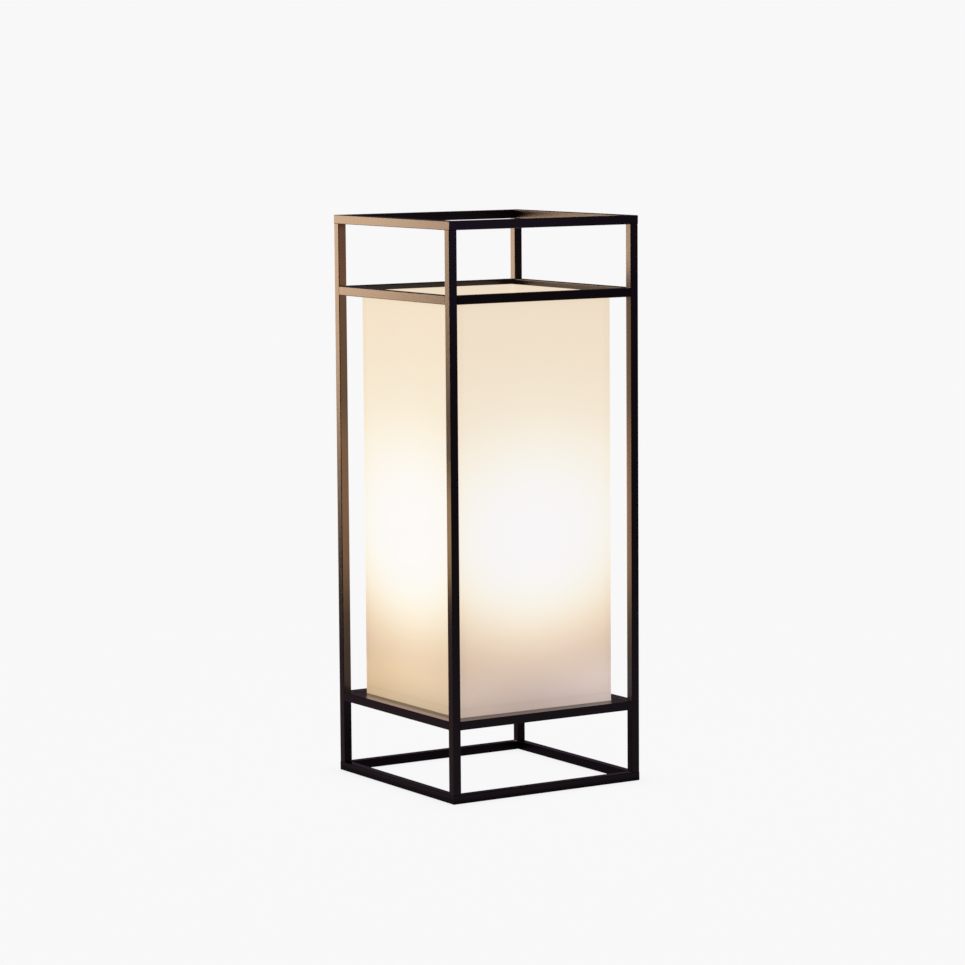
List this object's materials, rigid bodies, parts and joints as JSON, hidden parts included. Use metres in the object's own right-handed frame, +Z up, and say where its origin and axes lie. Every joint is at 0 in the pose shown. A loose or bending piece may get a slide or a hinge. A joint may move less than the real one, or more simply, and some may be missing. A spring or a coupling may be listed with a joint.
{
  "type": "outdoor lantern",
  "caption": "Free-standing outdoor lantern: slim square-tube cage round a lit opal box shade that lifts out upwards over a screw-in lamp on a stem.",
  "frame": {"origin": "on the floor below the middle of the cage", "axes": "+Z up, the front faces -Y, the cable gland at the back points to +Y"},
  "size_m": [0.25, 0.25, 0.645],
  "materials": {
    "frame_paint": "dark bronze-black satin powder coat on steel tube",
    "opal_sheet": "opal cast acrylic sheet, satin, lit from inside",
    "zinc_steel": "zinc-plated steel",
    "brass": "plain brass",
    "black_plastic": "moulded black thermoplastic, fine spark texture",
    "white_plastic": "moulded white thermoplastic",
    "porcelain": "glazed porcelain core",
    "seal_rubber": "soft black sealing rubber",
    "lead_brown": "brown wire insulation",
    "lead_blue": "blue wire insulation",
    "lead_green": "green and yellow wire insulation",
    "lamp_opal": "opal lamp diffuser, lit",
    "nickel": "nickel-plated cap",
    "board_aluminium": "white-coated aluminium board"
  },
  "bodies": {
    "frame": {"base_rail_front": "frame_paint", "base_rail_right": "frame_paint", "base_rail_back": "frame_paint", "base_rail_left": "frame_paint", "shelf_rail_front": "frame_paint", "shelf_rail_right": "frame_paint", "shelf_rail_back": "frame_paint", "shelf_rail_left": "frame_paint", "upper_rail_front": "frame_paint", "upper_rail_right": "frame_paint", "upper_rail_back": "frame_paint", "upper_rail_left": "frame_paint", "top_rail_front": "frame_paint", "top_rail_right": "frame_paint", "top_rail_back": "frame_paint", "top_rail_left": "frame_paint", "post_front_left": "frame_paint", "post_front_right": "frame_paint", "post_back_right": "frame_paint", "post_back_left": "frame_paint", "corner_gussets": "frame_paint", "tray": "frame_paint", "tray_lip": "frame_paint", "tray_screws": "zinc_steel", "tray_nuts": "zinc_steel", "stem": "zinc_steel", "stem_nuts": "zinc_steel", "stem_washer": "zinc_steel", "lid_screws": "zinc_steel", "terminal_screws": "zinc_steel", "earth_tag": "brass", "screw_sleeve": "brass", "centre_contact": "brass", "holder_dome": "black_plastic", "holder_skirt": "black_plastic", "wiring_box": "black_plastic", "box_lid": "black_plastic", "gland_body": "black_plastic", "gland_lock_nut": "black_plastic", "gland_nut": "black_plastic", "holder_core": "porcelain", "terminal_block": "white_plastic", "lid_seal": "seal_rubber", "gland_seal": "seal_rubber", "live_lead": "lead_brown", "neutral_lead": "lead_blue", "earth_lead": "lead_green"},
    "shade": {"shade_left": "opal_sheet", "shade_right": "opal_sheet", "shade_front": "opal_sheet", "shade_back": "opal_sheet", "shade_top": "opal_sheet"},
    "lamp": {"lamp_globe": "lamp_opal", "lamp_housing": "white_plastic", "lamp_cap": "nickel", "lamp_insulator": "black_plastic", "lamp_contact": "brass", "light_board": "board_aluminium"}
  },
  "joints": [
    {"name": "shade_lift", "type": "slide", "parent": "frame", "child": "shade", "axis": [0, 0, 1], "range_m": [0, 0.56]},
    {"name": "lamp_turn", "type": "hinge", "parent": "frame", "child": "lamp", "pos_m": [0, 0, 0.21], "axis": [0, 0, 1], "range_deg": [0, 1080]}
  ]
}
